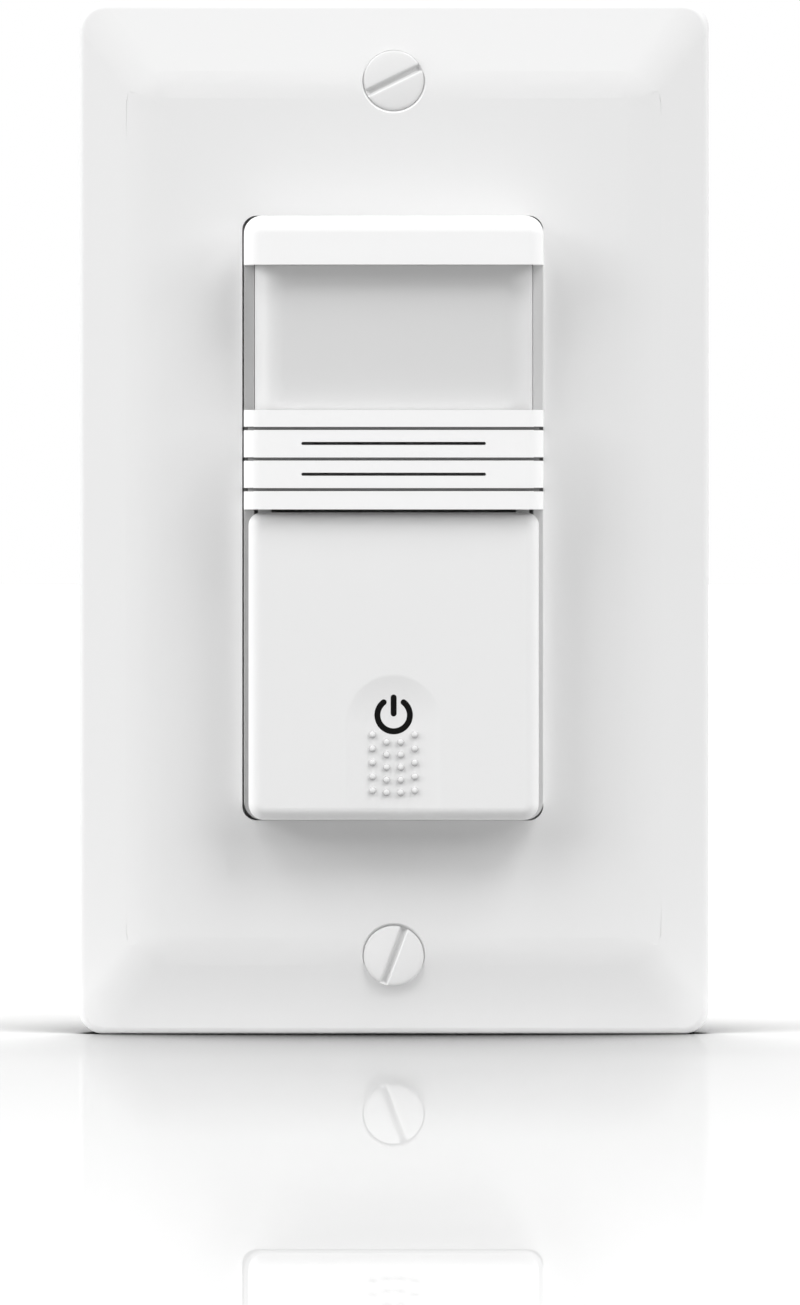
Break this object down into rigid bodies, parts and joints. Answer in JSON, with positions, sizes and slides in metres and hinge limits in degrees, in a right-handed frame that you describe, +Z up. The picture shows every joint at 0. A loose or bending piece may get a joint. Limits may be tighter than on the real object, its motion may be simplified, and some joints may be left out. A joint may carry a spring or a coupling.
{
  "type": "motion sensor light switch",
  "caption": "Wall switch with a soft-edged plate, a motion sensor behind a white lens, a vented grooved band and a hinged push button, on a steel yoke with screw terminals.",
  "frame": {"origin": "centre of the wall plate's back rim, on the wall's surface, midway between the two box screws", "axes": "+X to the right as the switch is looked at, +Y into the wall, +Z up"},
  "size_m": [0.0698, 0.0416, 0.1142],
  "materials": {
    "plate_plastic": "smooth satin white thermoplastic",
    "screw_paint": "white enamel on steel",
    "frame_plastic": "fine-grained white polycarbonate",
    "lens_plastic": "milky white polyethylene",
    "button_plastic": "fine-grained white polycarbonate",
    "inner_plastic": "black nylon",
    "housing_plastic": "white glass-filled nylon",
    "zinc_steel": "bright zinc plate",
    "spring_steel": "drawn wire",
    "fibre": "vulcanised fibre",
    "board": "green solder mask",
    "can_metal": "nickel plate",
    "filter_glass": "dark infrared filter",
    "dial_plastic": "natural nylon",
    "lamp_plastic": "red diffused lamp",
    "cell_plastic": "smoked resin",
    "relay_plastic": "black case",
    "can_sleeve": "shrink sleeve",
    "film_resin": "yellow resin",
    "disc_resin": "dipped blue coat",
    "resistor_coat": "flameproof coat",
    "ferrite": "ferrite",
    "brass": "stamped brass",
    "green_paint": "green screw"
  },
  "bodies": {
    "switch": {"wall_plate": "plate_plastic", "plate_screw_top": "screw_paint", "plate_screw_bottom": "screw_paint", "yoke": "zinc_steel", "box_screws": "zinc_steel", "screw_retainers": "fibre", "front_frame": "frame_plastic", "lens": "lens_plastic", "lens_holder": "inner_plastic", "button_spring": "spring_steel", "control_board": "board", "sensor_can": "can_metal", "sensor_glass": "filter_glass", "sensor_base": "can_metal", "tact_switch": "inner_plastic", "range_trimmer": "relay_plastic", "time_trimmer": "relay_plastic", "light_trimmer": "relay_plastic", "light_sensor": "cell_plastic", "status_lamp": "lamp_plastic", "control_chip": "relay_plastic", "board_header": "inner_plastic", "power_board": "board", "relay": "relay_plastic", "storage_capacitor": "can_sleeve", "film_capacitor": "film_resin", "varistor": "disc_resin", "fuse_resistor": "resistor_coat", "choke": "ferrite", "rear_housing": "housing_plastic", "terminal_lugs": "brass", "clamp_plates": "brass", "terminal_screws": "brass", "ground_screw": "green_paint", "housing_screws": "zinc_steel"},
    "button": {"push_button": "button_plastic"},
    "plunger": {"tact_plunger": "inner_plastic"},
    "range_knob": {"range_dial": "dial_plastic"},
    "time_knob": {"time_dial": "dial_plastic"},
    "light_knob": {"light_dial": "dial_plastic"}
  },
  "joints": [
    {"name": "button_press", "type": "hinge", "parent": "switch", "child": "button", "pos_m": [0, -0.0074, 0.0026], "axis": [1, 0, 0], "range_deg": [0, 1.3], "stiffness_Nm_per_rad": 0.6, "springref_deg": -1.72, "deforming": ["button_spring"]},
    {"name": "plunger_slide", "type": "slide", "parent": "switch", "child": "plunger", "axis": [0, 1, 0], "range_m": [0, 0.00065]},
    {"name": "range_turn", "type": "hinge", "parent": "switch", "child": "range_knob", "pos_m": [-0.0092, -0.004, -0.009], "axis": [0, 1, 0], "range_deg": [-135, 135]},
    {"name": "time_turn", "type": "hinge", "parent": "switch", "child": "time_knob", "pos_m": [0, -0.004, -0.009], "axis": [0, 1, 0], "range_deg": [-135, 135]},
    {"name": "light_turn", "type": "hinge", "parent": "switch", "child": "light_knob", "pos_m": [0.0092, -0.004, -0.009], "axis": [0, 1, 0], "range_deg": [-135, 135]}
  ],
  "couplings": [
    {"joint": "plunger_slide", "follows": "button_press", "m_per_rad": 0.028}
  ]
}
